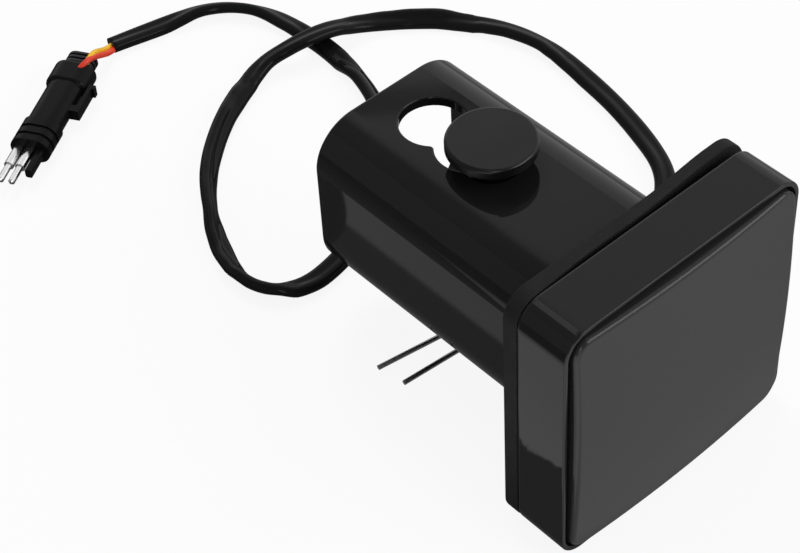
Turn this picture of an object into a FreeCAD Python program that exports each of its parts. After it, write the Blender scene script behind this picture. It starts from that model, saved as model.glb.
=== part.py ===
import FreeCAD, Part
import math
import os

# Brake light that plugs into a 2 inch square receiver. Millimetres, +Z up.
# The origin is on the tube's axis, in the plane where the pad's rear face meets the receiver's mouth.
# The tube reaches back along +Y and the lens looks along -Y.

V = FreeCAD.Vector

# Tube that slides into the receiver
tube_side = 50.0
tube_wall = 2.8
tube_corner = 13.1
tube_reach = 84.0
tube_end_round = 0.8
flange_lip = 2.0
flange_corner = 4.0
flange_thick = 3.0

# Pin holes, two wide overlapping circles and the pin's closer seat in front of them, through both walls
pin_hole_radius = 9.0
pin_hole_pitch = 13.3
pin_hole_count = 2
pin_hole_first = 52.5
pin_seat_pitch = 8.1
pin_seat_clearance = 0.9
pin_hole_cusp_round = 1.2
pin_hole_edge_round = 0.5

# Light head
head_side_room = 8.0
head_height = 79.2
head_depth = 15.7
head_corner = 7.1
head_drop = 0.4
head_wall = 2.2
head_back = 2.4
head_back_round = 1.0
least_corner = 0.5
rim_width = 1.4
rim_depth = 3.5
rim_round = 0.45
ledge_width = 1.6
ledge_thick = 1.6

# Pad between the head and the receiver
pad_thick = 4.5
pad_clearance = 0.3

# Lens
lens_gap = 0.8
lens_proud = 1.1
lens_crown_radius = 460.0
lens_wall = 2.2
lens_face = 2.4
lens_edge_round = 1.4
seal_thick = 0.6

# Board and what sits on it
board_thick = 1.6
board_clearance = 1.6
board_corner = 4.0
board_setback = 4.0
post_radius = 3.0
post_inset = 4.6
led_rows = 6
led_inset = 8.6
led_width = 3.5
led_depth = 2.8
led_height = 1.9
led_bevel = 0.5
resistor_count = 6
resistor_pitch = 8.0
resistor_length = 2.0
resistor_width = 1.25
resistor_height = 0.6
diode_count = 2
diode_pitch = 14.0
diode_length = 4.3
diode_width = 2.6
diode_height = 2.0
part_row_inset = 3.0

# Screws
flange_screw_inset = 3.4
flange_screw_radius = 1.25
flange_screw_length = 6.0
flange_screw_head_radius = 2.3
flange_screw_head_height = 1.5
flange_boss_radius = 2.9
board_screw_radius = 1.25
board_screw_length = 6.0
board_screw_head_radius = 2.3
board_screw_head_height = 1.5
screw_head_bevel = 0.5
recess_length = 2.8
recess_width = 0.7
recess_depth = 0.7
screw_clearance = 0.05

# Pin, its cap and its clip
pin_radius = 6.35
pin_turn = 5.1
pin_tip_chamfer = 1.2
pin_head_radius = 9.0
pin_head_height = 1.4
cap_radius = 11.8
cap_thick = 2.8
cap_edge_round = 0.9
cap_height = 5.5
clip_wire_radius = 0.7
clip_above_tip = 4.0
clip_hole_clearance = 0.3
clip_leg = 30.6
clip_free_leg = 32.5
clip_flare = 5.1
clip_droop = 11.2
clip_loop_radius = 4.2
clip_loop_place = 19.0
clip_dip_place = 10.5
clip_dip_run = 3.2
clip_dip_beside = 4.0
clip_shoulder = 0.4
clip_pin_clearance = 0.05

# Gland, cable and cores
gland_z = -12.9
gland_radius = 3.2
gland_nose_radius = 2.9
gland_nose = 6.0
gland_foot_radius = 3.6
gland_foot_thick = 1.6
gland_clearance = 0.05
cable_radius = 2.5
core_radius = 0.8
core_spacing = 2.0
core_lead_out = 0.4
core_lead_in = 0.35
lead_reach = 4.0

# Connector at the cable's end
connector_rear = V(-17.6, 208.4, 0.0)
connector_heading = 211.2
connector_length = 36.3
connector_width = 11.1
connector_height = 7.8
shoulder_width = 13.4
shoulder_height = 8.8
shoulder_length = 9.4
collar_width = 12.4
collar_height = 8.8
collar_length = 9.9
collar_groove_width = 1.2
collar_groove_depth = 0.6
collar_groove_count = 2
connector_round = 1.4
latch_root = 19.2
latch_tip = 7.0
latch_width = 3.6
latch_thick = 1.3
latch_standoff = 1.5
latch_hook = 1.6
latch_hook_height = 0.8
terminal_pitch = 3.5
terminal_length = 14.2
terminal_barrel_length = 7.6
terminal_radius = 1.5
terminal_tip_radius = 1.0
terminal_tip_bevel = 0.5
prong_length = 9.4
prong_root = 1.0
prong_round = 0.6
prong_width = 2.2
prong_height = 3.0
cable_seal_length = 5.0
cable_seal_width = 9.6
cable_seal_height = 6.4
cable_seal_rib_count = 3
cable_seal_rib_depth = 0.7
oval_flat = 0.02
cut_margin = 1.0

# Planes and sizes that follow from the values above
flange_side = tube_side + 2 * flange_lip
flange_screw_place = flange_side / 2 - flange_screw_inset
well_side = flange_side + 2 * head_wall
head_width = well_side + 2 * (head_side_room + head_wall)
head_rear = -pad_thick
head_front = head_rear - head_depth
flange_front = head_rear - flange_thick
back_inner = head_rear - head_back
pocket_inner = flange_front - head_back
ledge_front = head_front + rim_depth
lens_front = head_front - lens_proud
lens_rear = ledge_front - seal_thick
head_centre = -head_drop
floor = head_centre - head_height / 2
cable_floor = floor + cable_radius
clip_level = floor + clip_above_tip
cap_under = tube_side / 2 + cap_height
board_front = head_front + board_setback
board_rear = board_front + board_thick
board_width = head_width - 2 * (head_wall + ledge_width + board_clearance)
board_height = head_height - 2 * (head_wall + ledge_width + board_clearance)
led_pitch_x = (board_width - 2 * led_inset) / (led_rows - 1)
led_pitch_z = (board_height - 2 * led_inset) / (led_rows - 1)
post_x = board_width / 2 - post_inset
post_z = board_height / 2 - post_inset
gland_x = well_side / 2 + head_side_room / 2
pin_place = pin_hole_first - pin_seat_pitch

# Cable from the gland's nose to the bare cores: out of the head, down to the surface that the light
# stands on, round behind it, over itself once and back to the connector
cable_route = [
    V(gland_x, gland_nose, gland_z),
    V(gland_x, 16.5, gland_z),
    V(35.6, 27.0, -18.4),
    V(44.6, 33.9, -29.9),
    V(55.8, 39.7, -35.9),
    V(67.5, 45.9, cable_floor),
    V(77.4, 54.4, cable_floor),
    V(83.3, 67.6, cable_floor),
    V(87.8, 83.6, cable_floor),
    V(90.8, 100.5, cable_floor),
    V(92.4, 116.9, cable_floor),
    V(89.4, 132.4, cable_floor),
    V(81.2, 146.0, cable_floor),
    V(69.7, 158.2, cable_floor),
    V(58.3, 165.3, -36.4),
    V(47.4, 168.1, -32.1),
    V(36.1, 169.6, -32.1),
    V(24.9, 170.8, -36.4),
    V(11.7, 166.8, cable_floor),
    V(-2.9, 158.6, cable_floor),
    V(-18.0, 145.7, cable_floor),
    V(-29.4, 128.9, cable_floor),
    V(-35.1, 115.3, cable_floor),
    V(-36.3, 106.3, cable_floor),
    V(-32.7, 97.9, cable_floor),
    V(-25.4, 92.3, cable_floor),
    V(-16.2, 91.2, cable_floor),
    V(-2.5, 94.7, cable_floor),
    V(12.7, 103.1, cable_floor),
    V(27.8, 116.6, cable_floor),
    V(39.0, 135.7, cable_floor),
    V(43.9, 154.8, cable_floor),
    V(44.6, 174.3, cable_floor),
    V(41.6, 191.9, cable_floor),
    V(32.1, 204.5, cable_floor),
    V(17.0, 208.9, cable_floor),
    V(-1.8, 212.7, cable_floor),
]


def edges_along(shape, axis):
    """Straight edges of a shape that run along an axis."""
    found = []
    for edge in shape.Edges:
        if edge.Curve.TypeId == "Part::GeomLine" and abs(edge.tangentAt(0).dot(axis)) > 0.999:
            found.append(edge)
    return found


def edges_at(shape, axis, place):
    """Edges that lie wholly in the plane at a place along an axis."""
    found = []
    for edge in shape.Edges:
        box = edge.BoundBox
        low = V(box.XMin, box.YMin, box.ZMin).dot(axis)
        high = V(box.XMax, box.YMax, box.ZMax).dot(axis)
        if abs(low - place) < 0.01 and abs(high - place) < 0.01:
            found.append(edge)
    return found


def block(width, height, corner, front, rear, centre=0.0):
    """Square bar along Y with rounded corners, centred on x = 0 and on a height."""
    corner_point = V(-width / 2, front, centre - height / 2)
    box = Part.makeBox(width, rear - front, height, corner_point)
    return box.makeFillet(corner, edges_along(box, V(0, 1, 0)))


def head_block(inset, front, rear):
    """Block with the head's outline, smaller by an inset on each side."""
    width = head_width - 2 * inset
    height = head_height - 2 * inset
    corner = max(head_corner - inset, least_corner)
    return block(width, height, corner, front, rear, head_centre)


def rod(radius, start, end):
    """Round bar from one point to another."""
    return Part.makeCylinder(radius, (end - start).Length, start, end - start)


def pin_hole():
    """Vertical cutter for the pin's seat and the chain of holes behind it, with its cusps rounded."""
    rounds = [(pin_place, pin_radius + pin_seat_clearance)]
    for index in range(pin_hole_count):
        rounds.append((pin_hole_first + index * pin_hole_pitch, pin_hole_radius))
    cutter = None
    for place, radius in rounds:
        lobe = Part.makeCylinder(radius, 2 * tube_side, V(0, place, -tube_side))
        lobe.rotate(V(0, place, 0), V(0, 0, 1), 90)
        cutter = lobe if cutter is None else cutter.fuse(lobe)
    cutter = cutter.removeSplitter()
    cusps = [edge for edge in edges_along(cutter, V(0, 0, 1)) if abs(edge.BoundBox.Center.x) > 1]
    return cutter.makeFillet(pin_hole_cusp_round, cusps)


def hitch_tube():
    """Square tube with its front flange, open at the rear, with the pin holes cut."""
    outer = block(tube_side, tube_side, tube_corner, flange_front, tube_reach)
    outer = outer.makeFillet(tube_end_round, edges_at(outer, V(0, 1, 0), tube_reach))
    flange = block(flange_side, flange_side, flange_corner, flange_front, head_rear)
    inner_side = tube_side - 2 * tube_wall
    inner = block(inner_side, inner_side, tube_corner - tube_wall, flange_front, tube_reach)
    tube = outer.fuse(flange).cut(inner).cut(pin_hole())
    rims = edges_at(tube, V(0, 0, 1), tube_side / 2) + edges_at(tube, V(0, 0, 1), -tube_side / 2)
    rims = [edge for edge in rims if edge.Curve.TypeId == "Part::GeomCircle"]
    tube = tube.makeFillet(pin_hole_edge_round, rims)
    for x, z in flange_screw_places():
        tube = tube.cut(screw_hole(x, z))
    return tube


def flange_screw_places():
    """The four corners of the flange, as x and z."""
    place = flange_screw_place
    return [(x, z) for x in (-place, place) for z in (-place, place)]


def board_post_places():
    """The four posts that carry the board, at the middle of its sides, as x and z."""
    sides = [(-post_x, head_centre), (post_x, head_centre)]
    ends = [(0, head_centre - post_z), (0, head_centre + post_z)]
    return sides + ends


def screw(x, z, seat, way, radius, length, head_radius, head_height):
    """Pan head screw along Y with a cross recess; way is the direction that its point looks in."""
    head = Part.makeCylinder(head_radius, head_height, V(x, seat, z), V(0, -way, 0))
    top = seat - way * head_height
    head = head.makeChamfer(screw_head_bevel, edges_at(head, V(0, 1, 0), top))
    shank = rod(radius, V(x, seat, z), V(x, seat + way * length, z))
    body = head.fuse(shank)
    for width, height in ((recess_length, recess_width), (recess_width, recess_length)):
        low = V(x - width / 2, min(top, top + way * recess_depth), z - height / 2)
        body = body.cut(Part.makeBox(width, recess_depth, height, low))
    return body


def screw_hole(x, z):
    """Clearance hole and counterbore for one flange screw, cut from the flange's rear face."""
    shank = flange_screw_radius + screw_clearance
    bore = flange_screw_head_radius + screw_clearance
    depth = flange_screw_head_height
    hole = rod(shank, V(x, flange_front, z), V(x, head_rear, z))
    return hole.fuse(rod(bore, V(x, head_rear - depth, z), V(x, head_rear, z)))


def flange_screws():
    """Four screws that pull the tube's flange onto the head."""
    seat = head_rear - flange_screw_head_height
    made = []
    for x, z in flange_screw_places():
        made.append(screw(x, z, seat, -1, flange_screw_radius, flange_screw_length,
                          flange_screw_head_radius, flange_screw_head_height))
    return Part.makeCompound(made)


def light_housing():
    """Open-fronted box with a rim and a ledge for the lens, and a sunk seat for the tube's flange."""
    body = head_block(0, head_front, head_rear)
    body = body.makeFillet(head_back_round, edges_at(body, V(0, 1, 0), head_rear))
    body = body.cut(head_block(rim_width, head_front, ledge_front))
    body = body.makeFillet(rim_round, edges_at(body, V(0, 1, 0), head_front))
    body = body.cut(head_block(head_wall + ledge_width, ledge_front, ledge_front + ledge_thick))
    body = body.cut(head_block(head_wall, ledge_front + ledge_thick, back_inner))
    body = body.fuse(block(well_side, well_side, flange_corner + head_wall, pocket_inner, back_inner))
    boss_front = head_rear - flange_screw_head_height - flange_screw_length - screw_clearance
    for x, z in flange_screw_places():
        body = body.fuse(rod(flange_boss_radius, V(x, boss_front - head_wall, z), V(x, pocket_inner, z)))
        hole = flange_screw_radius + screw_clearance
        body = body.cut(rod(hole, V(x, boss_front, z), V(x, flange_front, z)))
    for x, z in board_post_places():
        body = body.fuse(rod(post_radius, V(x, board_rear, z), V(x, back_inner, z)))
        end = board_front + board_screw_length + screw_clearance
        body = body.cut(rod(board_screw_radius + screw_clearance, V(x, board_rear, z), V(x, end, z)))
    side = flange_side + 2 * screw_clearance
    body = body.cut(block(side, side, flange_corner, flange_front, head_rear))
    bore = gland_radius + gland_clearance
    return body.cut(rod(bore, V(gland_x, back_inner, gland_z), V(gland_x, head_rear, gland_z)))


def gasket_pad():
    """Soft pad with the head's outline, round the tube and the gland."""
    pad = head_block(0, head_rear, 0)
    side = tube_side + 2 * pad_clearance
    pad = pad.cut(block(side, side, tube_corner + pad_clearance, head_rear, 0))
    bore = gland_radius + pad_clearance
    return pad.cut(rod(bore, V(gland_x, head_rear, gland_z), V(gland_x, 0, gland_z)))


def lens():
    """Smoked cover: a crowned face with rounded edges on a skirt that drops inside the rim."""
    inset = rim_width + lens_gap
    outer = head_block(inset, lens_front - head_depth, lens_rear)
    half_width = head_width / 2 - inset
    half_height = head_height / 2 - inset
    corner = math.hypot(half_width, half_height) - lens_edge_round
    middle = lens_front + math.sqrt(lens_crown_radius ** 2 - corner ** 2)
    crown = Part.makeSphere(lens_crown_radius, V(0, middle, head_centre))
    outer = outer.common(crown)
    face = min(outer.Faces, key=lambda side: side.CenterOfMass.y)
    outer = outer.makeFillet(lens_edge_round, face.Edges)
    return outer.cut(head_block(inset + lens_wall, lens_front + lens_face, lens_rear))


def lens_seal():
    """Flat bead between the ledge and the lens skirt."""
    inset = rim_width + lens_gap
    bead = head_block(inset, lens_rear, ledge_front)
    return bead.cut(head_block(inset + lens_wall, lens_rear, ledge_front))


def led_board():
    """Circuit board with its four screw holes."""
    board = block(board_width, board_height, board_corner, board_front, board_rear, head_centre)
    for x, z in board_post_places():
        hole = board_screw_radius + screw_clearance
        board = board.cut(rod(hole, V(x, board_front, z), V(x, board_rear, z)))
    return board


def led_emitters():
    """Square grid of light emitters, each a small block with a bevelled front."""
    made = []
    for row in range(led_rows):
        for column in range(led_rows):
            x = (column - (led_rows - 1) / 2) * led_pitch_x
            z = head_centre + (row - (led_rows - 1) / 2) * led_pitch_z
            low = V(x - led_width / 2, board_front - led_height, z - led_depth / 2)
            emitter = Part.makeBox(led_width, led_height, led_depth, low)
            front = edges_at(emitter, V(0, 1, 0), board_front - led_height)
            made.append(emitter.makeChamfer(led_bevel, front))
    return Part.makeCompound(made)


def board_row(count, pitch, size, side):
    """Row of small blocks along one edge of the board; side is 1 for the top edge."""
    length, width, height = size
    z = head_centre + side * (board_height / 2 - part_row_inset)
    made = []
    for index in range(count):
        x = (index - (count - 1) / 2) * pitch
        low = V(x - length / 2, board_front - height, z - width / 2)
        made.append(Part.makeBox(length, height, width, low))
    return Part.makeCompound(made)


def board_screws():
    """Four screws that hold the board on its posts."""
    made = []
    for x, z in board_post_places():
        made.append(screw(x, z, board_front, 1, board_screw_radius, board_screw_length,
                          board_screw_head_radius, board_screw_head_height))
    return Part.makeCompound(made)


def hitch_pin():
    """Round steel pin with a flat head under the cap, a chamfered tip and the clip's cross hole."""
    length = cap_under + pin_head_height - floor
    shank = Part.makeCylinder(pin_radius, length, V(0, pin_place, floor))
    head = Part.makeCylinder(pin_head_radius, pin_head_height, V(0, pin_place, cap_under))
    pin = shank.fuse(head).removeSplitter()
    pin = pin.makeChamfer(pin_tip_chamfer, edges_at(pin, V(0, 0, 1), floor))
    way = clip_way()
    middle = V(0, pin_place, clip_level)
    hole = clip_wire_radius + clip_hole_clearance
    return pin.cut(rod(hole, middle - way * 2 * pin_radius, middle + way * 2 * pin_radius))


def pin_cap():
    """Round cap moulded over the pin's steel head."""
    cap = Part.makeCylinder(cap_radius, cap_thick, V(0, pin_place, cap_under))
    cap = cap.makeFillet(cap_edge_round, edges_at(cap, V(0, 0, 1), cap_under + cap_thick))
    return cap.cut(Part.makeCylinder(pin_head_radius, pin_head_height, V(0, pin_place, cap_under)))


def clip_way():
    """Direction of the clip's straight leg, out of its loop."""
    turn = math.radians(180 - pin_turn)
    return V(math.cos(turn), math.sin(turn), 0)


def clip_point(along, beside):
    """Point in the clip's sloping plane: along its straight leg from the pin's axis, and beside it."""
    way = clip_way()
    droop = math.radians(clip_droop)
    side = V(way.y, -way.x, 0) * math.cos(droop) + V(0, 0, -math.sin(droop))
    return V(0, pin_place, clip_level) + way * along + side * beside


def arc_through(start, middle, end):
    """Arc edge through three points."""
    return Part.Arc(start, middle, end).toShape()


def line_to(start, end):
    """Straight edge between two points."""
    return Part.LineSegment(start, end).toShape()


def tangent_arcs(points, share=0.45):
    """Straight runs joined by tangent arcs, each as large as its two runs allow, with its radii."""
    edges = []
    radii = []
    start = points[0]
    for before, corner, after in zip(points, points[1:], points[2:]):
        come = (corner - before).normalize()
        leave = (after - corner).normalize()
        cut = share * min((corner - before).Length, (after - corner).Length)
        half_turn = come.getAngle(leave) / 2
        radius = cut / math.tan(half_turn)
        radii.append(radius)
        first = corner - come * cut
        last = corner + leave * cut
        inward = (leave - come).normalize()
        middle = corner + inward * (radius / math.cos(half_turn) - radius)
        edges.append(line_to(start, first))
        edges.append(arc_through(first, middle, last))
        start = last
    edges.append(line_to(start, points[-1]))
    return Part.Wire(edges), radii


def sweep(path, radius):
    """Round bar swept along a path."""
    start = path.OrderedVertexes[0].Point
    way = path.OrderedEdges[0].tangentAt(path.OrderedEdges[0].FirstParameter)
    if (path.OrderedEdges[0].valueAt(path.OrderedEdges[0].FirstParameter) - start).Length > 1e-6:
        way = way * -1
    circle = Part.Wire(Part.makeCircle(radius, start, way))
    return path.makePipeShell([circle], True, False)


def hairpin_clip():
    """Wire clip: a straight leg through the pin, a loop, and a free leg that hugs the pin's side."""
    hug = (pin_radius + clip_wire_radius + clip_pin_clearance) / math.cos(math.radians(clip_droop))
    flare = math.radians(clip_flare)
    touch = clip_point(hug * math.sin(-flare), hug * math.cos(flare))
    free_way = clip_point(math.cos(flare), math.sin(flare)) - clip_point(0, 0)
    loop = clip_loop_radius
    points = [
        clip_point(clip_leg, 0),
        clip_point(-clip_loop_place - loop, 0),
        clip_point(-clip_loop_place - 2 * loop, loop),
        clip_point(-clip_loop_place - loop, 2 * loop),
        clip_point(-clip_dip_place - clip_dip_run, clip_dip_beside),
        clip_point(-clip_dip_place, clip_dip_beside),
        clip_point(-pin_radius, hug + clip_shoulder),
        touch,
        touch + free_way * clip_free_leg,
    ]
    return sweep(tangent_arcs(points)[0], clip_wire_radius)


def cable_gland():
    """Strain relief: a foot inside the head, a plug through its back wall and a tapered nose."""
    foot_front = back_inner - gland_foot_thick
    profile = [
        V(0, foot_front, 0),
        V(gland_foot_radius, foot_front, 0),
        V(gland_foot_radius, back_inner, 0),
        V(gland_radius, back_inner, 0),
        V(gland_radius, 0, 0),
        V(gland_nose_radius, gland_nose, 0),
        V(0, gland_nose, 0),
        V(0, foot_front, 0),
    ]
    face = Part.Face(Part.makePolygon(profile))
    relief = face.revolve(V(0, 0, 0), V(0, 1, 0), 360)
    relief.translate(V(gland_x, 0, gland_z))
    return relief


def cable_sleeve():
    """Cable along its whole free route, which starts at the gland's nose."""
    path, radii = tangent_arcs(cable_route)
    print("cable radii:", ", ".join(f"{radius:.1f}" for radius in radii))
    tube = sweep(path, cable_radius)
    expected = math.pi * cable_radius ** 2 * path.Length
    print(f"cable length {path.Length:.1f}, volume {tube.Volume:.0f} against {expected:.0f}")
    return tube


def lead(side):
    """Core inside the head, from the gland's foot to the back of the board."""
    start = V(gland_x, back_inner - gland_foot_thick, gland_z + side * core_spacing / 2)
    end = V(gland_x - lead_reach, board_rear, gland_z + side * core_spacing)
    middle = (start.y + end.y) / 2
    points = [start, V(start.x, middle, start.z), V(end.x, middle, end.z), end]
    return sweep(tangent_arcs(points)[0], core_radius)


def along_connector(distance, side=0.0, rise=0.0):
    """Point on the connector: distance along its axis from its rear face, to a side and up."""
    heading = math.radians(connector_heading)
    way = V(math.cos(heading), math.sin(heading), 0)
    across = V(way.y, -way.x, 0)
    height = floor + collar_height / 2
    return connector_rear + V(0, 0, height) + way * distance - across * side + V(0, 0, rise)


def place_connector(shape):
    """Moves a piece built along +X from the origin to the connector's place."""
    shape.rotate(V(0, 0, 0), V(0, 0, 1), connector_heading)
    shape.translate(connector_rear + V(0, 0, floor + collar_height / 2))
    return shape


def oval(width, height, start, end, side=0.0):
    """Flat bar along X with fully rounded sides; its width runs along Y."""
    low = V(start, side - width / 2, -height / 2)
    box = Part.makeBox(end - start, width, height, low)
    return box.makeFillet(height / 2 - oval_flat, edges_along(box, V(1, 0, 0)))


def connector_body():
    """Moulded shell: rear shoulders, barrel, grooved front collar, latch arm and locating prong."""
    length = connector_length
    shoulder = oval(shoulder_width, shoulder_height, 0, shoulder_length)
    ends = edges_at(shoulder, V(1, 0, 0), 0) + edges_at(shoulder, V(1, 0, 0), shoulder_length)
    shoulder = shoulder.makeFillet(connector_round, ends)
    collar = oval(collar_width, collar_height, length - collar_length, length)
    for index in range(collar_groove_count):
        start = length - collar_length * (index + 1) / (collar_groove_count + 1)
        end = start + collar_groove_width
        ring = oval(collar_width + cut_margin, collar_height + cut_margin, start, end)
        core_width = collar_width - 2 * collar_groove_depth
        core_height = collar_height - 2 * collar_groove_depth
        collar = collar.cut(ring.cut(oval(core_width, core_height, start, end)))
    body = shoulder.fuse(oval(connector_width, connector_height, 0, length)).fuse(collar)
    face = connector_width / 2
    arm_low = V(latch_tip, face + latch_standoff, -latch_width / 2)
    arm = Part.makeBox(latch_root - latch_tip, latch_thick, latch_width, arm_low)
    root_low = V(latch_root - 2 * latch_thick, face - latch_thick, -latch_width / 2)
    root = Part.makeBox(2 * latch_thick, latch_standoff + 2 * latch_thick, latch_width, root_low)
    knees = [edge for edge in edges_along(root, V(0, 0, 1)) if edge.BoundBox.YMin > face + latch_standoff]
    knee = max(knees, key=lambda edge: edge.BoundBox.XMin)
    root = root.makeChamfer(latch_thick, [knee])
    hook = Part.makeBox(latch_hook, latch_thick + latch_hook_height, latch_width, arm_low)
    prong_low = V(length - prong_root, terminal_pitch - prong_width / 2, -prong_height / 2)
    prong = Part.makeBox(prong_root + prong_length, prong_width, prong_height, prong_low)
    prong = prong.makeFillet(prong_round, edges_along(prong, V(1, 0, 0)))
    return place_connector(body.fuse([arm, root, hook, prong]).removeSplitter())


def connector_seal():
    """Ribbed soft plug that the cores enter."""
    core_width = cable_seal_width - 2 * cable_seal_rib_depth
    core_height = cable_seal_height - 2 * cable_seal_rib_depth
    plug = oval(core_width, core_height, -cable_seal_length, 0)
    step = cable_seal_length / cable_seal_rib_count
    for index in range(cable_seal_rib_count):
        start = -cable_seal_length + index * step
        plug = plug.fuse(oval(cable_seal_width, cable_seal_height, start, start + step / 2))
    return place_connector(plug.removeSplitter())


def terminal_pins():
    """Two stepped round terminals beside each other."""
    made = []
    for side in (-terminal_pitch, 0.0):
        start = connector_length
        step = start + terminal_barrel_length
        end = start + terminal_length
        barrel = rod(terminal_radius, V(start, side, 0), V(step, side, 0))
        tip = rod(terminal_tip_radius, V(step, side, 0), V(end, side, 0))
        tip = tip.makeChamfer(terminal_tip_bevel, edges_at(tip, V(1, 0, 0), end))
        made.append(barrel.fuse(tip))
    return place_connector(Part.makeCompound(made))


def wire_core(side):
    """Bare core from the cable's end to the seal, on one side of the cable's centreline."""
    end_run = cable_route[-1] - cable_route[-2]
    end_run.normalize()
    beside = V(-end_run.y, end_run.x, 0)
    start = cable_route[-1] + beside * (side * core_spacing / 2)
    end = along_connector(-cable_seal_length, side * core_spacing / 2)
    back = (along_connector(-cable_seal_length) - along_connector(0)).normalize()
    span = (end - start).Length
    bends = [start + end_run * (span * core_lead_out), end + back * (span * core_lead_in)]
    return sweep(tangent_arcs([start] + bends + [end])[0], core_radius)


def build():
    """Writes every piece to its own file."""
    os.makedirs("parts", exist_ok=True)
    resistor = (resistor_length, resistor_width, resistor_height)
    diode = (diode_length, diode_width, diode_height)
    pieces = {
        "hitch_tube": hitch_tube(),
        "flange_screws": flange_screws(),
        "light_housing": light_housing(),
        "gasket_pad": gasket_pad(),
        "lens": lens(),
        "lens_seal": lens_seal(),
        "led_board": led_board(),
        "led_emitters": led_emitters(),
        "resistors": board_row(resistor_count, resistor_pitch, resistor, -1),
        "diodes": board_row(diode_count, diode_pitch, diode, 1),
        "board_screws": board_screws(),
        "hitch_pin": hitch_pin(),
        "pin_cap": pin_cap(),
        "hairpin_clip": hairpin_clip(),
        "cable_gland": cable_gland(),
        "lead_yellow": lead(1),
        "lead_red": lead(-1),
        "cable_sleeve": cable_sleeve(),
        "wire_yellow": wire_core(-1),
        "wire_red": wire_core(1),
        "connector_body": connector_body(),
        "connector_seal": connector_seal(),
        "terminal_pins": terminal_pins(),
    }
    for name, shape in pieces.items():
        shape.exportStep(f"parts/{name}.step")
        print(name, "valid" if shape.isValid() else "NOT VALID", f"{shape.Volume / 1000:.2f} cm3")


build()
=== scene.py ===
import bmesh
import bpy
import math
from mathutils import Matrix, Vector


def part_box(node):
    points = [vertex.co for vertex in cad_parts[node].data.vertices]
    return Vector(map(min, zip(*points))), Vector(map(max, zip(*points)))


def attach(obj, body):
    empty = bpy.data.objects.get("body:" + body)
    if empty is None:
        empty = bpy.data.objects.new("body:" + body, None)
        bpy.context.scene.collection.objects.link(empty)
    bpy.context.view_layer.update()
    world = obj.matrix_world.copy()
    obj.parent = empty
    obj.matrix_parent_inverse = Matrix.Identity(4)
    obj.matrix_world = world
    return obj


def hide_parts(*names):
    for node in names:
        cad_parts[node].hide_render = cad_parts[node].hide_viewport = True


# Dressed scene of a receiver brake light. Metres, in the CAD's own frame.
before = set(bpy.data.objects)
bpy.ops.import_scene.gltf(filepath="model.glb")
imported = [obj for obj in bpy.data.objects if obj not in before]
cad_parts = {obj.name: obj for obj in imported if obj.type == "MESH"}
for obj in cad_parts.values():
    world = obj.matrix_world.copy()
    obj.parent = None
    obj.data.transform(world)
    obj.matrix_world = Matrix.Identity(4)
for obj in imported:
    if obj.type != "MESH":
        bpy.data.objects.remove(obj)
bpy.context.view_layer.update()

# Places taken from the frame
head_low, head_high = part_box("light_housing")
pad_low, pad_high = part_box("gasket_pad")
floor_z = head_low.z

# Camera, fitted to the photograph's edges
image_width = 800
focal_pixels = 2250.45
sensor_width = 36.0
nearest_seen = 0.01
farthest_seen = 20.0
camera_place = Vector((-0.276371, -0.251214, 0.410304))
camera_right = Vector((0.740276, -0.670928, -0.042984))
camera_up = Vector((0.508681, 0.517161, 0.688323))
camera_forward = Vector((0.439585, 0.531413, -0.724130))

# Lamps, placed from a point in the middle of the object
lamp_target = Vector((0.0, 0.03, 0.0))
key_offset = Vector((0.44, -0.71, 0.54))
key_width = 0.8
key_height = 0.5
key_power = 4.5
top_offset = Vector((0.25, 0.55, 0.95))
top_width = 0.5
top_power = 5.0

# In the next groups a change is two limits of a value and what it gives at each of them, and a strip
# is where a value starts and ends its rise and its fall.

# Surroundings: an even level for diffuse light, and parts of a direction for what gloss shows
diffuse_level = 0.55
side_change = (-0.02, 0.30, 0.32, 1.0)
lower_change = (0.655, 0.664, 1.35, 1.0)
band_strip = (0.6632, 0.6652, 0.6715, 0.6735)
band_depth = 0.82
window_x_strip = (-0.64, -0.60, -0.44, -0.40)
window_y_strip = (-0.88, -0.84, -0.62, -0.58)
window_z_change = (0.0, 0.05, 0.0, 4.0)

# Floor: its size and how much of its own white it sends to the camera and through clear things
floor_radius = 3.0
floor_sides = 64
floor_drop = 0.0001
floor_colour = (0.85, 0.85, 0.85, 1.0)
floor_camera_share = 0.90
floor_clear_share = 0.5
white = (1.0, 1.0, 1.0, 1.0)

# Floor as the tube's side wall shows it, painted for gloss only: a pale strip of painted light that ends
# in a painted dark crescent, with painted shade around the strip, which near the object stands in for
# its shadow
wall_strip = (-0.0615, -0.0600, -0.0510, -0.0490)
wall_painted_light_level = 0.33
wall_painted_shade_level = 0.16
crescent_x = -0.0427
crescent_y = 0.1022
crescent_curve = 60.0
crescent_change = (-0.0008, 0.0008, 0.0, 1.0)
crescent_painted_dark_level = 0.09

# Floor as the head's side shows it, painted for gloss only: a pale patch of painted light with a ragged
# edge, and painted shade around it, which near the head stands in for its shadow
patch_strip = (-0.1500, -0.1000, -0.0600, -0.0588)
patch_painted_light_level = 0.66
patch_painted_shade_level = 0.13
ragged_scale = 160.0
ragged_detail = 2.0
ragged_size = 0.008

# Floor as the lens shows it, painted for gloss only: a slope of painted light that keeps the crowned
# lens even, brighter still towards the left
slope_along_x = -2.6
slope_along_y = -8.5
slope_middle = 0.25
slope_least = 0.30
slope_most = 1.15
slope_left_change = (-0.062, -0.046, 0.7, 0.0)

# Where these painted parts of the floor meet, and its painted darker level behind them
split_lean = 1.2
split_change = (-0.047, -0.039, 0.0, 1.0)
behind_change = (-0.02, 0.02, 0.0, 1.0)
behind_painted_dark_level = 0.40
left_x_change = (0.020, 0.034, 1.0, 0.0)
left_y_change = (-0.026, -0.018, 0.0, 1.0)

# White card that gloss shows on the head's corner
card_beside = 0.0042
card_y = 0.0165
card_above = 0.048
card_width = 0.021
card_length = 0.020
card_strength = 1.4

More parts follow.
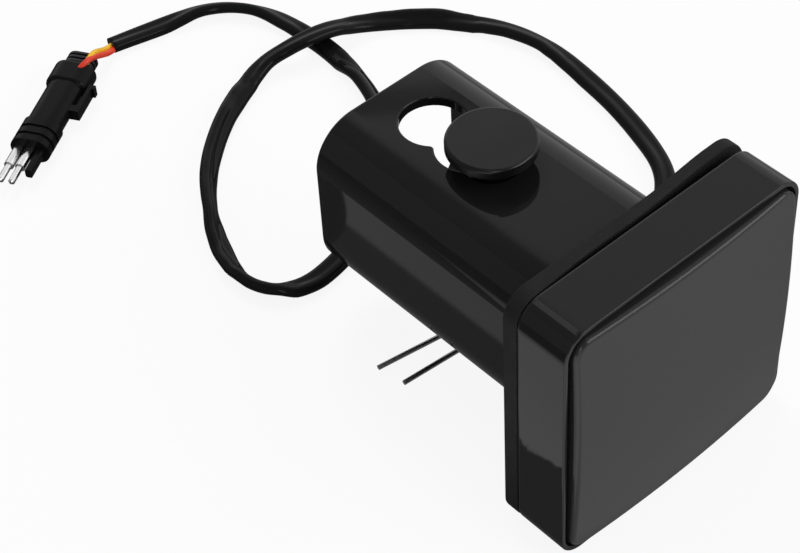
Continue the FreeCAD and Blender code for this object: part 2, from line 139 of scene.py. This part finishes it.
# Grain that the materials share
coarse_share = 0.08
coarse_detail = 3.0
fine_detail = 4.0
grain_low = 0.3
grain_high = 0.7
least_roughness = 0.02
ripple_depth = 0.0002
plastic_ior = 1.45
gloss_black = (0.0104, 0.0104, 0.0107)

# Flat two-core cable, its two bare cores and the CAD's round cable
cable_width = 0.0065
cable_thickness = 0.0034
cable_web = 0.0028
cable_sides = 32
cable_step = 0.0012
core_radius = 0.0009
core_sides = 20
core_step = 0.0004
cad_cable_radius = 0.0025
cable_floor = floor_z + cad_cable_radius
gland_x = 0.0332
gland_z = -0.0129
gland_nose = 0.006
spline_steps = 16

# Foam pad: its edges, the grid that lets it bow, and the bow's places and heights
pad_weld = 0.00001
pad_flat_angle = 0.02
pad_round = 0.0005
pad_round_steps = 3
rim_angle = 1.0
rim_reach = 0.030
rim_gland_room = 0.0085
pad_cut = 0.004
pad_cut_shift = 0.0001
bow_z = (0.022, 0.038)
bow_start_x = (-0.036, -0.012)
bow_front_x = (0.0, 0.030)
bow_back_x = (0.006, 0.030)
bow_height = 0.0010
bow_more = 0.0014

# Turn of the flat cable about its own line: distance from the gland in millimetres, and degrees
mm_per_metre = 1000.0
cable_rolls = [
    (0, 0), (56, -10), (81, -14), (95, -4), (108, -6), (122, -2), (131, -10), (139, -20), (143, -28),
    (155, -20), (163, -10), (170, 8), (179, 42), (186, 36), (194, 20), (202, 8), (212, -4), (229, -14),
    (236, -20), (244, -8), (253, 26), (262, 48), (277, 50), (287, 58), (297, 70), (302, 74), (312, 42),
    (318, 28), (326, 44), (331, 60), (338, 52), (342, 46), (348, 12), (356, 0), (400, 0), (430, -46),
    (442, -46), (456, 10), (462, 12), (478, -16), (491, -42), (506, -34), (521, 0), (541, -10),
]
no_rolls = [(0, 0), (100, 0)]

# Control points of the bare cores, from inside the sleeve over the seal into the connector
core_routes = {
    "wire_yellow": (
        (0.0010, 0.2134, -0.0383), (-0.0036, 0.2122, -0.0380), (-0.0078, 0.2101, -0.0350),
        (-0.0118, 0.2072, -0.0314), (-0.0150, 0.2052, -0.0312), (-0.0174, 0.2052, -0.0325),
    ),
    "wire_red": (
        (0.0005, 0.2114, -0.0383), (-0.0040, 0.2102, -0.0380), (-0.0088, 0.2080, -0.0348),
        (-0.0135, 0.2055, -0.0312), (-0.0172, 0.2046, -0.0310), (-0.0196, 0.2049, -0.0325),
    ),
}


def look_camera():
    """Camera at the photograph's place and angle."""
    data = bpy.data.cameras.new("camera")
    data.sensor_width = sensor_width
    data.lens = focal_pixels * sensor_width / image_width
    data.clip_start = nearest_seen
    data.clip_end = farthest_seen
    camera = bpy.data.objects.new("camera", data)
    bpy.context.scene.collection.objects.link(camera)
    turn = Matrix((camera_right, camera_up, -camera_forward)).transposed()
    camera.matrix_world = Matrix.Translation(camera_place) @ turn.to_4x4()
    bpy.context.scene.camera = camera
    bpy.context.scene.view_settings.view_transform = "Standard"


def add_object(name, bm, material):
    """Object in the scene with one material and the mesh that bm holds."""
    mesh = bpy.data.meshes.new(name)
    bm.to_mesh(mesh)
    bm.free()
    mesh.materials.append(material)
    piece = bpy.data.objects.new(name, mesh)
    bpy.context.scene.collection.objects.link(piece)
    return piece


def empty_tree(owner):
    """Node tree of a world or a material, with no nodes in it."""
    owner.use_nodes = True
    owner.node_tree.nodes.clear()
    return owner.node_tree


def add_node(tree, kind, **values):
    """New shader node with some of its properties or inputs set."""
    node = tree.nodes.new(kind)
    for name, value in values.items():
        if hasattr(node, name):
            setattr(node, name, value)
        else:
            node.inputs[name.replace("_", " ")].default_value = value
    return node


def math_node(tree, operation, first, second=None):
    """Math node on one or two values, each a socket or a number."""
    node = add_node(tree, "ShaderNodeMath", operation=operation)
    for index, value in enumerate((first, second)):
        if value is None:
            continue
        if isinstance(value, (int, float)):
            node.inputs[index].default_value = value
        else:
            tree.links.new(value, node.inputs[index])
    return node.outputs[0]


def plus(tree, first, second):
    """Sum of two values."""
    return math_node(tree, "ADD", first, second)


def minus(tree, first, second):
    """First value less the second."""
    return math_node(tree, "SUBTRACT", first, second)


def times(tree, first, second):
    """Product of two values."""
    return math_node(tree, "MULTIPLY", first, second)


def ramp(tree, value, low, high, at_low, at_high):
    """Value mapped smoothly from one range to another and held at its ends."""
    node = add_node(tree, "ShaderNodeMapRange", interpolation_type="SMOOTHSTEP")
    tree.links.new(value, node.inputs["Value"])
    limits = {"From Min": low, "From Max": high, "To Min": at_low, "To Max": at_high}
    for name, limit in limits.items():
        node.inputs[name].default_value = limit
    return node.outputs["Result"]


def strip(tree, value, rise_start, rise_end, fall_start, fall_end):
    """One between two limits of a value, with soft edges, and nought outside them."""
    rise = ramp(tree, value, rise_start, rise_end, 0.0, 1.0)
    fall = ramp(tree, value, fall_start, fall_end, 1.0, 0.0)
    return times(tree, rise, fall)


def blend_values(tree, share, first, second):
    """First value turned into the second by a share."""
    kept = times(tree, minus(tree, 1.0, share), first)
    return plus(tree, kept, times(tree, share, second))


def split_parts(tree, place):
    """X, Y and Z of a place or a direction, by name."""
    parts = tree.nodes.new("ShaderNodeSeparateXYZ")
    tree.links.new(place, parts.inputs[0])
    return parts.outputs


def world_mirror(tree):
    """Brightness of the surroundings in reflections: darker towards -X, brighter below a narrow
    dark band, and a window."""
    parts = split_parts(tree, tree.nodes.new("ShaderNodeTexCoord").outputs["Generated"])
    kept = minus(tree, 1.0, times(tree, strip(tree, parts["Z"], *band_strip), band_depth))
    level = times(tree, ramp(tree, parts["X"], *side_change), kept)
    level = times(tree, level, ramp(tree, parts["Z"], *lower_change))
    window = times(tree, strip(tree, parts["X"], *window_x_strip),
                   strip(tree, parts["Y"], *window_y_strip))
    window = times(tree, window, ramp(tree, parts["Z"], *window_z_change))
    return plus(tree, level, window)


def make_world():
    """White for the camera, an even level for diffuse light, and surroundings of its own for gloss."""
    world = bpy.data.worlds.new("studio")
    bpy.context.scene.world = world
    tree = empty_tree(world)
    path = tree.nodes.new("ShaderNodeLightPath")
    glossy = path.outputs["Is Glossy Ray"]
    seen = math_node(tree, "MAXIMUM", path.outputs["Is Camera Ray"], path.outputs["Is Transmission Ray"])
    other = minus(tree, 1.0, math_node(tree, "MAXIMUM", seen, glossy))
    level = plus(tree, times(tree, glossy, world_mirror(tree)), seen)
    level = plus(tree, level, times(tree, other, diffuse_level))
    background = tree.nodes.new("ShaderNodeBackground")
    tree.links.new(level, background.inputs["Strength"])
    output = tree.nodes.new("ShaderNodeOutputWorld")
    tree.links.new(background.outputs[0], output.inputs["Surface"])


def wall_painted_reflection(tree, x, y):
    """Painted brightness of the floor that the tube's side wall shows: painted light in a strip, painted
    shade around it and a painted dark crescent.
    """
    level = plus(tree, times(tree, strip(tree, x, *wall_strip), wall_painted_light_level), wall_painted_shade_level)
    offset = math_node(tree, "ABSOLUTE", minus(tree, x, crescent_x))
    bow = times(tree, math_node(tree, "POWER", offset, 2.0), crescent_curve)
    beyond = minus(tree, y, plus(tree, bow, crescent_y))
    return blend_values(tree, ramp(tree, beyond, *crescent_change), level, crescent_painted_dark_level)


def patch_painted_reflection(tree, x, place):
    """Painted brightness of the floor that the head's side shows: a patch of painted light with a ragged
    edge, and painted shade around it.
    """
    uneven = add_node(tree, "ShaderNodeTexNoise", Scale=ragged_scale, Detail=ragged_detail)
    tree.links.new(place, uneven.inputs["Vector"])
    shift = times(tree, minus(tree, uneven.outputs["Fac"], 0.5), ragged_size)
    patch = strip(tree, plus(tree, x, shift), *patch_strip)
    return plus(tree, times(tree, patch, patch_painted_light_level), patch_painted_shade_level)


def lens_painted_reflection(tree, x, y):
    """Painted brightness of the floor that the lens shows: a slope of painted light, brighter still
    towards the left.
    """
    slope = plus(tree, times(tree, x, slope_along_x), times(tree, y, slope_along_y))
    level = math_node(tree, "MAXIMUM", plus(tree, slope, slope_middle), slope_least)
    level = math_node(tree, "MINIMUM", level, slope_most)
    return plus(tree, level, ramp(tree, x, *slope_left_change))


def floor_painted_reflection(tree):
    """Painted brightness of the floor in reflections: patches of painted light and shade on the left, a
    painted slope in front, painted darker behind.
    """
    place = tree.nodes.new("ShaderNodeTexCoord").outputs["Object"]
    parts = split_parts(tree, place)
    x = parts["X"]
    y = parts["Y"]
    split = plus(tree, y, times(tree, x, split_lean))
    left = blend_values(tree, ramp(tree, split, *split_change), patch_painted_reflection(tree, x, place),
                        wall_painted_reflection(tree, x, y))
    right = blend_values(tree, ramp(tree, y, *behind_change), lens_painted_reflection(tree, x, y), behind_painted_dark_level)
    left_share = times(tree, ramp(tree, x, *left_x_change), ramp(tree, y, *left_y_change))
    return blend_values(tree, left_share, right, left)


def floor_material():
    """White that keeps a faint shadow, with painted light and shade instead of its own brightness where
    gloss shows it.
    """
    material = bpy.data.materials.new("floor_white_painted_reflections")
    tree = empty_tree(material)
    path = tree.nodes.new("ShaderNodeLightPath")
    glossy = path.outputs["Is Glossy Ray"]
    diffuse = add_node(tree, "ShaderNodeBsdfDiffuse", Color=floor_colour)
    glow = add_node(tree, "ShaderNodeEmission", Color=white)
    # Gloss sees painted light and shade here instead of the lit floor.
    strength = plus(tree, times(tree, glossy, floor_painted_reflection(tree)), minus(tree, 1.0, glossy))
    tree.links.new(strength, glow.inputs["Strength"])
    clear_share = times(tree, path.outputs["Is Transmission Ray"], floor_clear_share)
    share = times(tree, path.outputs["Is Camera Ray"], floor_camera_share)
    share = plus(tree, share, plus(tree, glossy, clear_share))
    mix = tree.nodes.new("ShaderNodeMixShader")
    tree.links.new(share, mix.inputs[0])
    tree.links.new(diffuse.outputs[0], mix.inputs[1])
    tree.links.new(glow.outputs[0], mix.inputs[2])
    output = tree.nodes.new("ShaderNodeOutputMaterial")
    tree.links.new(mix.outputs[0], output.inputs["Surface"])
    return material


def make_floor():
    """Round white floor at the level that the light stands on."""
    bm = bmesh.new()
    bmesh.ops.create_circle(bm, cap_ends=True, segments=floor_sides, radius=floor_radius)
    floor = add_object("floor", bm, floor_material())
    floor.location = (0.0, 0.0, floor_z - floor_drop)


def card_material():
    """Plain white that gives light."""
    material = bpy.data.materials.new("card_white")
    tree = empty_tree(material)
    glow = add_node(tree, "ShaderNodeEmission", Color=white, Strength=card_strength)
    output = tree.nodes.new("ShaderNodeOutputMaterial")
    tree.links.new(glow.outputs[0], output.inputs["Surface"])
    return material


def make_card():
    """Small white card over the head that only gloss shows: the pale line on the head's corner.
    Its mesh is one metre wide, so that its scale is its size."""
    bm = bmesh.new()
    bmesh.ops.create_grid(bm, x_segments=1, y_segments=1, size=0.5)
    card = add_object("card", bm, card_material())
    card.location = (head_low.x + card_beside, card_y, head_high.z + card_above)
    card.scale = (card_width, card_length, 1.0)
    card.visible_camera = False
    card.visible_diffuse = False
    card.visible_transmission = False
    card.visible_shadow = False


def make_lamp(name, offset, width, height, power):
    """Soft rectangular lamp that looks at the middle of the object."""
    data = bpy.data.lights.new(name, "AREA")
    data.shape = "RECTANGLE"
    data.size = width
    data.size_y = height
    data.energy = power
    lamp = bpy.data.objects.new(name, data)
    lamp.location = lamp_target + offset
    lamp.rotation_mode = "QUATERNION"
    lamp.rotation_quaternion = (-offset).to_track_quat("-Z", "Y")
    bpy.context.scene.collection.objects.link(lamp)
    return lamp


def make_lamps():
    """Key lamp at the front right, and one overhead that no gloss shows."""
    make_lamp("key", key_offset, key_width, key_height, key_power)
    top = make_lamp("top", top_offset, top_width, top_width, top_power)
    top.visible_glossy = False


def glossy_material(name, colour, roughness, ior=plastic_ior, grain=900.0, bump=0.02, spread=0.03):
    """Moulded plastic: a plain colour, slightly uneven gloss and a fine ripple."""
    material = bpy.data.materials.new(name)
    material.use_nodes = True
    tree = material.node_tree
    shader = tree.nodes["Principled BSDF"]
    shader.inputs["Base Color"].default_value = (*colour, 1.0)
    shader.inputs["IOR"].default_value = ior
    place = tree.nodes.new("ShaderNodeTexCoord")
    coarse = add_node(tree, "ShaderNodeTexNoise", Scale=grain * coarse_share, Detail=coarse_detail)
    fine = add_node(tree, "ShaderNodeTexNoise", Scale=grain, Detail=fine_detail)
    tree.links.new(place.outputs["Object"], coarse.inputs["Vector"])
    tree.links.new(place.outputs["Object"], fine.inputs["Vector"])
    least = max(roughness - spread, least_roughness)
    rough = ramp(tree, coarse.outputs["Fac"], grain_low, grain_high, least, roughness + spread)
    tree.links.new(rough, shader.inputs["Roughness"])
    ripple = add_node(tree, "ShaderNodeBump", Strength=bump, Distance=ripple_depth)
    tree.links.new(fine.outputs["Fac"], ripple.inputs["Height"])
    tree.links.new(ripple.outputs["Normal"], shader.inputs["Normal"])
    return material


def metal_material(name, colour, roughness):
    """Drawn or plated metal with fine scratches in its gloss."""
    material = glossy_material(name, colour, roughness, ior=1.5, grain=1500.0, bump=0.08, spread=0.06)
    material.node_tree.nodes["Principled BSDF"].inputs["Metallic"].default_value = 1.0
    return material


def dress(node, material):
    """Gives a CAD node its finished material."""
    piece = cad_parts[node]
    if not piece.material_slots:
        piece.data.materials.append(material)
    for place in piece.material_slots:
        place.material = material


def cable_route():
    """Control points of the cable, from the gland's nose to the bare cores."""
    return [Vector(point) for point in (
        (gland_x, gland_nose, gland_z),
        (gland_x, 0.0165, gland_z),
        (0.0386, 0.0270, -0.0184),
        (0.0472, 0.0350, -0.0299),
        (0.0558, 0.0397, -0.0359),
        (0.0675, 0.0459, cable_floor),
        (0.0774, 0.0544, cable_floor),
        (0.0833, 0.0676, cable_floor),
        (0.0878, 0.0836, cable_floor),
        (0.0908, 0.1005, cable_floor),
        (0.0924, 0.1169, cable_floor),
        (0.0894, 0.1324, cable_floor),
        (0.0812, 0.1460, cable_floor),
        (0.0699, 0.1578, cable_floor),
        (0.0587, 0.1652, -0.0364),
        (0.0474, 0.1662, -0.0321),
        (0.0361, 0.1680, -0.0321),
        (0.0255, 0.1722, -0.0364),
        (0.0117, 0.1670, cable_floor),
        (-0.0029, 0.1586, cable_floor),
        (-0.0180, 0.1457, cable_floor),
        (-0.0294, 0.1289, cable_floor),
        (-0.0351, 0.1153, cable_floor),
        (-0.0367, 0.1063, cable_floor),
        (-0.0335, 0.0979, cable_floor),
        (-0.0258, 0.0929, cable_floor),
        (-0.0145, 0.0936, cable_floor),
        (-0.0004, 0.0976, cable_floor),
        (0.0137, 0.1048, cable_floor),
        (0.0278, 0.1166, cable_floor),
        (0.0390, 0.1357, cable_floor),
        (0.0439, 0.1548, cable_floor),
        (0.0446, 0.1743, cable_floor),
        (0.0416, 0.1919, cable_floor),
        (0.0321, 0.2045, cable_floor),
        (0.0170, 0.2089, cable_floor),
        (-0.0018, 0.2127, cable_floor),
    )]


def spline_points(points):
    """Points along the smooth line of a NURBS spline with the given control points."""
    curve = bpy.data.curves.new("route", "CURVE")
    curve.dimensions = "3D"
    curve.resolution_u = spline_steps
    spline = curve.splines.new("NURBS")
    spline.points.add(len(points) - 1)
    for place, point in zip(spline.points, points):
        place.co = (*point, 1.0)
    spline.order_u = 3
    spline.use_endpoint_u = True
    holder = bpy.data.objects.new("route", curve)
    bpy.context.scene.collection.objects.link(holder)
    mesh = bpy.data.meshes.new_from_object(holder)
    line = [vertex.co.copy() for vertex in mesh.vertices]
    bpy.data.objects.remove(holder)
    bpy.data.curves.remove(curve)
    bpy.data.meshes.remove(mesh)
    return line


def even_points(line, step):
    """The same line cut into even steps, with the distance of each point from its start."""
    lengths = [0.0]
    for first, second in zip(line, line[1:]):
        lengths.append(lengths[-1] + (second - first).length)
    count = max(2, round(lengths[-1] / step))
    points = []
    distances = []
    index = 0
    for number in range(count + 1):
        distance = lengths[-1] * number / count
        while index < len(line) - 2 and lengths[index + 1] < distance:
            index += 1
        share = (distance - lengths[index]) / (lengths[index + 1] - lengths[index])
        points.append(line[index].lerp(line[index + 1], min(max(share, 0.0), 1.0)))
        distances.append(distance)
    return points, distances


def smooth_share(value, low, high):
    """Nought below one limit, one above the other and a smooth rise between them."""
    share = min(max((value - low) / (high - low), 0.0), 1.0)
    return share * share * (3.0 - 2.0 * share)


def between(table, value):
    """Smooth reading of a table of pairs."""
    for (x0, y0), (x1, y1) in zip(table, table[1:]):
        if value <= x1:
            return y0 + (y1 - y0) * smooth_share(value, x0, x1)
    return table[-1][1]


def round_outline(radius, count):
    """Corners of a circle."""
    angles = [2.0 * math.pi * index / count for index in range(count)]
    return [(radius * math.cos(angle), radius * math.sin(angle)) for angle in angles]


def cable_outline():
    """Section of the flat cable: two round cores and the thinner web between them."""
    core = cable_thickness / 2
    centre = cable_width / 2 - core
    outline = []
    for index in range(cable_sides):
        angle = 2.0 * math.pi * index / cable_sides
        across = cable_width / 2 * math.cos(angle)
        beyond = abs(across) - centre
        if beyond > 0.0:
            half = math.sqrt(max(core ** 2 - beyond ** 2, 0.0))
        else:
            half = core + (cable_web / 2 - core) * smooth_share(-beyond, 0.0, centre)
        outline.append((across, math.copysign(half, math.sin(angle))))
    return outline


def make_tube(name, line, outline, rolls, material, settle=None):
    """Closed mesh tube with a given section along a line, rolled by a table. Where settle is a
    distance, each ring's lowest corner is set that far below the line."""
    bm = bmesh.new()
    points, distances = line
    rings = []
    for index, point in enumerate(points):
        before = points[max(index - 1, 0)]
        after = points[min(index + 1, len(points) - 1)]
        way = (after - before).normalized()
        side = way.cross(Vector((0.0, 0.0, 1.0))).normalized()
        over = side.cross(way)
        roll = math.radians(between(rolls, distances[index] * mm_per_metre))
        wide = side * math.cos(roll) + over * math.sin(roll)
        thick = over * math.cos(roll) - side * math.sin(roll)
        ring = [point + wide * x + thick * y for x, y in outline]
        if settle is not None:
            lift = point.z - settle - min(corner.z for corner in ring)
            ring = [corner + Vector((0.0, 0.0, lift)) for corner in ring]
        rings.append([bm.verts.new(corner) for corner in ring])
    count = len(outline)
    for first, second in zip(rings, rings[1:]):
        for index in range(count):
            follow = (index + 1) % count
            bm.faces.new((first[index], first[follow], second[follow], second[index]))
    bm.faces.new(list(reversed(rings[0])))
    bm.faces.new(rings[-1])
    bmesh.ops.recalc_face_normals(bm, faces=bm.faces)
    for face in bm.faces:
        face.smooth = len(face.verts) == 4
    return add_object(name, bm, material)


def make_core(name, material):
    """Bare core with its own colour, round and slightly bent."""
    points = [Vector(point) for point in core_routes[name]]
    line = even_points(spline_points(points), core_step)
    core = make_tube(name + "_core", line, round_outline(core_radius, core_sides), no_rolls, material)
    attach(core, "light")
    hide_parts(name)
    return core


def make_cable(material, red, yellow):
    """Flat two-core cable that follows the CAD's route, with its bare cores."""
    points, distances = even_points(spline_points(cable_route()), cable_step)
    cable = make_tube("cable", (points, distances), cable_outline(), cable_rolls, material,
                      cad_cable_radius)
    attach(cable, "light")
    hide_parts("cable_sleeve")
    parts = [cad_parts[name] for name in (
        "connector_body", "connector_seal", "terminal_pins", "cable_gland")]
    parts.append(make_core("wire_red", red))
    parts.append(make_core("wire_yellow", yellow))


def pad_rim(bm):
    """Sharp edges along the pad's outline, away from the tube's opening and the gland's hole."""
    gland = Vector((gland_x, 0.0, gland_z))
    rim = []
    for edge in bm.edges:
        if len(edge.link_faces) != 2 or edge.calc_face_angle() < rim_angle:
            continue
        middle = (edge.verts[0].co + edge.verts[1].co) / 2
        middle.y = 0.0
        outer = max(abs(middle.x), abs(middle.z)) > rim_reach
        if outer and (middle - gland).length > rim_gland_room:
            rim.append(edge)
    return rim


def cut_grid(bm):
    """Cuts the pad into squares across its face, so that it can bow."""
    for axis in (0, 2):
        low = int(pad_low[axis] / pad_cut) - 1
        high = int(pad_high[axis] / pad_cut) + 1
        for number in range(low, high + 1):
            place = Vector((0.0, 0.0, 0.0))
            place[axis] = number * pad_cut + pad_cut_shift
            way = Vector((0.0, 0.0, 0.0))
            way[axis] = 1.0
            everything = list(bm.verts) + list(bm.edges) + list(bm.faces)
            bmesh.ops.bisect_plane(bm, geom=everything, plane_co=place, plane_no=way)


def pad_bow(place):
    """Foam pad's place once it has bowed away from the head along its upper edge."""
    top = smooth_share(place.z, *bow_z)
    lean = smooth_share(place.x, *bow_start_x)
    front = top * lean * (bow_height + bow_more * smooth_share(place.x, *bow_front_x))
    back = top * bow_more * smooth_share(place.x, *bow_back_x)
    share = (place.y - pad_low.y) / (pad_high.y - pad_low.y)
    return place + Vector((0.0, front + (back - front) * share, 0.0))


def make_pad(material):
    """Foam pad with softened edges, bowed off the head at its upper right."""
    bm = bmesh.new()
    bm.from_mesh(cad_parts["gasket_pad"].data)
    bmesh.ops.remove_doubles(bm, verts=bm.verts, dist=pad_weld)
    bmesh.ops.dissolve_limit(bm, angle_limit=pad_flat_angle, verts=bm.verts, edges=bm.edges)
    bmesh.ops.bevel(bm, geom=pad_rim(bm), offset=pad_round, segments=pad_round_steps, profile=0.5,
                    affect="EDGES")
    cut_grid(bm)
    for vertex in bm.verts:
        vertex.co = pad_bow(vertex.co)
    bmesh.ops.recalc_face_normals(bm, faces=bm.faces)
    for face in bm.faces:
        face.smooth = False
    pad = add_object("foam_pad", bm, material)
    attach(pad, "light")
    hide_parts("gasket_pad")


look_camera()
make_world()
make_floor()
make_card()
make_lamps()

# Finishes: colour, roughness and refractive index, then the scale of the grain, the height of the
# ripple and how much the roughness varies
tube_plastic = glossy_material("tube_plastic", gloss_black, 0.045, ior=1.30,
                               grain=700.0, bump=0.006, spread=0.01)
head_plastic = glossy_material("head_plastic", gloss_black, 0.045, ior=1.30,
                               grain=700.0, bump=0.006, spread=0.01)
lens_smoke = glossy_material("lens_smoke", (0.024, 0.024, 0.025), 0.05, ior=1.30,
                             grain=500.0, bump=0.006, spread=0.01)
pad_foam = glossy_material("pad_foam", (0.010, 0.010, 0.010), 0.75, ior=1.30,
                           grain=2500.0, bump=0.5, spread=0.05)
pin_steel = glossy_material("pin_steel", (0.005, 0.005, 0.0055), 0.18, ior=1.30,
                            grain=1200.0, bump=0.05, spread=0.04)
cap_plastic = glossy_material("cap_plastic", (0.0055, 0.0055, 0.0058), 0.22, ior=1.34,
                              grain=1200.0, bump=0.04, spread=0.04)
cable_pvc = glossy_material("cable_pvc", (0.0085, 0.0085, 0.0090), 0.07, ior=1.17,
                            grain=900.0, bump=0.012, spread=0.02)
connector_nylon = glossy_material("connector_nylon", (0.006, 0.006, 0.0068), 0.22, ior=1.17,
                                  grain=1500.0, bump=0.2, spread=0.05)
seal_rubber = glossy_material("seal_rubber", (0.016, 0.016, 0.019), 0.3, ior=1.30,
                              grain=1500.0, bump=0.2, spread=0.05)
core_yellow = glossy_material("core_yellow", (0.90, 0.50, 0.02), 0.35)
core_red = glossy_material("core_red", (0.72, 0.045, 0.015), 0.35)
board_white = glossy_material("board_white", (0.7, 0.7, 0.68), 0.4)
emitter = glossy_material("emitter", (0.7, 0.1, 0.08), 0.2)
component_black = glossy_material("component_black", (0.02, 0.02, 0.02), 0.4)
clip_steel = metal_material("clip_steel", (0.50, 0.50, 0.52), 0.30)
terminal_tin = metal_material("terminal_tin", (0.85, 0.85, 0.86), 0.18)
screw_steel = metal_material("screw_steel", (0.6, 0.6, 0.62), 0.3)

finishes = {
    "hitch_tube": tube_plastic,
    "flange_screws": screw_steel,
    "light_housing": head_plastic,
    "lens": lens_smoke,
    "lens_seal": seal_rubber,
    "led_board": board_white,
    "led_emitters": emitter,
    "resistors": component_black,
    "diodes": component_black,
    "board_screws": screw_steel,
    "hitch_pin": pin_steel,
    "pin_cap": cap_plastic,
    "hairpin_clip": clip_steel,
    "cable_gland": cable_pvc,
    "lead_yellow": core_yellow,
    "lead_red": core_red,
    "connector_body": connector_nylon,
    "connector_seal": seal_rubber,
    "terminal_pins": terminal_tin,
}
for node_name, finish in finishes.items():
    dress(node_name, finish)

make_cable(cable_pvc, core_red, core_yellow)
make_pad(pad_foam)
